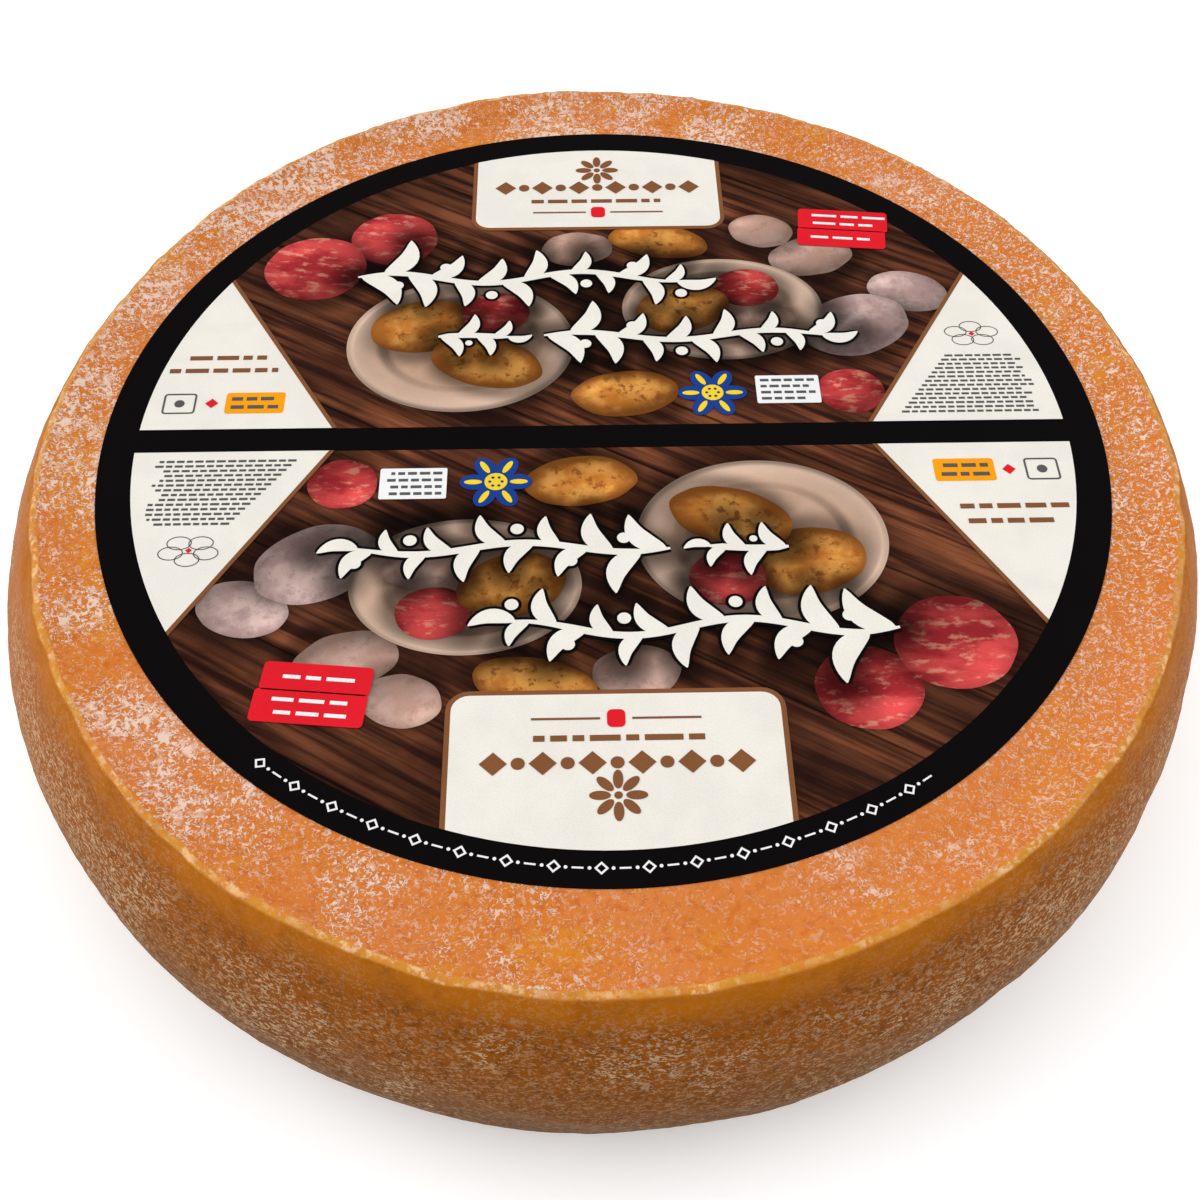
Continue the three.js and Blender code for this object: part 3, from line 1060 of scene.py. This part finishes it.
def drawBox(sheets, place, rng):        # the white box beside the flower
    plan = boxPlan
    x, y = place
    roundBar(sheets["white"], x, y, *plan.size, levels.panelInk, plan.corner)
    for i in range(plan.rows):
        wordRow(sheets["grey"], rng, x - plan.reach, x + plan.reach - 1.5 * (i % 2),
                y + plan.top - plan.rowGap * i, plan.thick, levels.sticker, longest=2.8)


leftPrint = SimpleNamespace(
    words=((-107.4, -86.9, 29.6), (-112.0, -84.0, 24.9)), wordThick=1.5,        # x from and to, y
    square=(-107.8, 13.0), squareSize=(8.4, 7.2), squareBand=0.5, dot=2.6,
    lozenge=(-99.6, 13.0), lozengeSize=3.4,
    tag=(-88.6, 13.0), tagSize=(15.0, 7.4), tagRows=2, tagGap=2.9, tagReach=6.0,
    tagWordThick=1.2, tagCorner=0.8, squareCorner=1.0,
)


def drawLeftPrint(sheets, rng):        # words, an outlined square with a dot, a red lozenge, an orange tag
    plan = leftPrint
    grey, level = sheets["grey"], levels.panelInk
    for x0, x1, y in plan.words:
        wordRow(sheets["brown"], rng, x0, x1, y, plan.wordThick, level + 0.05, longest=5.0)
    square = roundBar(grey, *plan.square, *plan.squareSize, level, plan.squareCorner)
    hoop(grey, square, plan.squareBand)
    spot(grey, *plan.square, plan.dot, plan.dot, level)
    spot(sheets["red"], *plan.lozenge, plan.lozengeSize, plan.lozengeSize, level, corners=4)
    x, y = plan.tag
    roundBar(sheets["orange"], x, y, *plan.tagSize, level, plan.tagCorner)
    for i in range(plan.tagRows):
        wordRow(grey, rng, x - plan.tagReach, x + plan.tagReach, y + plan.tagGap * (0.5 - i),
                plan.tagWordThick, level + 0.06, longest=4.0)


rightPrint = SimpleNamespace(
    rows=14, top=27.4, rowGap=1.56, left=90.0, widen=14.0, right=111.5, thick=0.72,
    flower=(98.5, 35.6), petals=5, petalReach=(4.4, 2.8), petal=(6.0, 4.2), petalTurn=0.3,
    band=0.25, heart=1.6,
)


def drawRightPrint(sheets, rng):        # rows of small print that follow the slant, and an outlined flower
    plan = rightPrint
    grey, level = sheets["grey"], levels.panelInk
    for i in range(plan.rows):
        left = plan.left - plan.widen * i / (plan.rows - 1)
        wordRow(grey, rng, left, plan.right - rng.uniform(0, 3), plan.top - plan.rowGap * i,
                plan.thick, level, longest=2.6)
    x, y = plan.flower
    reachX, reachY = plan.petalReach
    for i in range(plan.petals):
        turn = fullTurn * i / plan.petals + plan.petalTurn
        petal = spot(grey, x + reachX * math.cos(turn), y + reachY * math.sin(turn), *plan.petal, level)
        hoop(grey, petal, plan.band)
    spot(sheets["red"], x, y, plan.heart, plan.heart, level + 0.05, corners=4)


def drawGarland(sheets, paths, berries):        # black underneath and cream on top
    outline = garlandPlan.outline
    for i, path in enumerate(paths):        # each a hair over the last, so that they never flicker
        wider = [(x, y, width + outline) for x, y, width in path]
        stroke(sheets["black"], wider, levels.halo + 0.0008 * i)
        stroke(sheets["cream"], path, levels.leaves + 0.0006 * i)
    for x, y, size in berries:
        spot(sheets["black"], x, y, size + outline, size + outline, levels.halo - 0.002, 20)
        spot(sheets["cream"], x, y, size, size, levels.leaves - 0.002, 20)


ringPlan = SimpleNamespace(
    reach=120.4, start=math.radians(51.5), span=math.radians(74), step=math.radians(1.16),
    lozenge=3.0, lozengeBand=0.42, dash=(2.4, 0.42), dot=0.8,
)


def drawRingOrnament(white):        # lozenges, dots and dashes on the black ring, along the front only
    plan = ringPlan
    level = levels.ground
    for i in range(int(plan.span / plan.step)):
        turn = plan.start + i * plan.step
        x, y = plan.reach * math.cos(turn), plan.reach * math.sin(turn)
        if i % 4 == 0:
            lozenge = spot(white, x, y, plan.lozenge, plan.lozenge, level, corners=4, turn=turn)
            hoop(white, lozenge, plan.lozengeBand)
        elif i % 4 == 2:
            bar(white, x, y, *plan.dash, level, turn + math.pi / 2)
        else:
            spot(white, x, y, plan.dot, plan.dot, level, corners=10)


def drawInks(half, paths, berries):
    sheets = {name: bmesh.new() for name in inks}
    rng = random.Random(half.seed)
    drawSidePanels(sheets)
    drawName(sheets, half, rng)
    drawTag(sheets, half, rng)
    drawFlower(sheets, half.flowerAt)
    drawBox(sheets, half.boxAt, rng)
    drawLeftPrint(sheets, rng)
    drawRightPrint(sheets, rng)
    drawGarland(sheets, paths, berries)
    if half.ringOrnament:
        drawRingOrnament(sheets["white"])
    return sheets


def layLabel():
    printGroup()
    materials = {name: printMaterial("printed " + name, paint) for name, paint in paints.items()}
    materials.update({name: printMaterial("ink " + name, ink(colour)) for name, colour in inks.items()})
    plan = labelPlan
    toFrame = Matrix.Translation(labelMiddle) @ Matrix.Diagonal((mm, mm * plan.squash, mm, 1))

    paper = bmesh.new()
    bmesh.ops.create_circle(paper, cap_ends=True, segments=plan.discSteps * 2, radius=plan.halfX)
    grown = bmesh.ops.extrude_face_region(paper, geom=paper.faces[:])["geom"]
    bmesh.ops.translate(paper, vec=(0, 0, plan.paperTop),
                        verts=[v for v in grown if isinstance(v, bmesh.types.BMVert)])
    bmesh.ops.recalc_face_normals(paper, faces=paper.faces[:])
    bmesh.ops.transform(paper, matrix=toFrame, verts=paper.verts[:])
    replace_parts(makePiece(paper, "label_paper", materials["black"]), "label")

    paths, berries = garlandPaths(garlandPlan)
    points = [(x, y, 0) for path in paths for x, y, _ in path]
    tree = kdtree.KDTree(len(points))
    for i, point in enumerate(points):
        tree.insert(point, i)
    tree.balance()
    for name, half in halfPlans.items():
        sheets = picturePieces(tree)
        sheets.update(drawInks(half, paths, berries))
        turned = toFrame @ Matrix.Rotation(plan.turn + half.turn, 4, "Z")
        for kind, bm in sheets.items():
            if not bm.faces:
                bm.free()
                continue
            bmesh.ops.transform(bm, matrix=turned, verts=bm.verts[:])
            bm.normal_update()
            downward = [f for f in bm.faces if f.normal.z < 0]
            bmesh.ops.reverse_faces(bm, faces=downward)
            makePiece(bm, f"print_{kind}_{name}", materials[kind], wall=plan.inkWall)


addCamera(cameraPlan)
addStudio(lightPlan)
say("camera, light and floor")
buildWheel(wheelPlan, rindMaterial(rindPlan))
say("wheel and rind")
layLabel()
say("label")
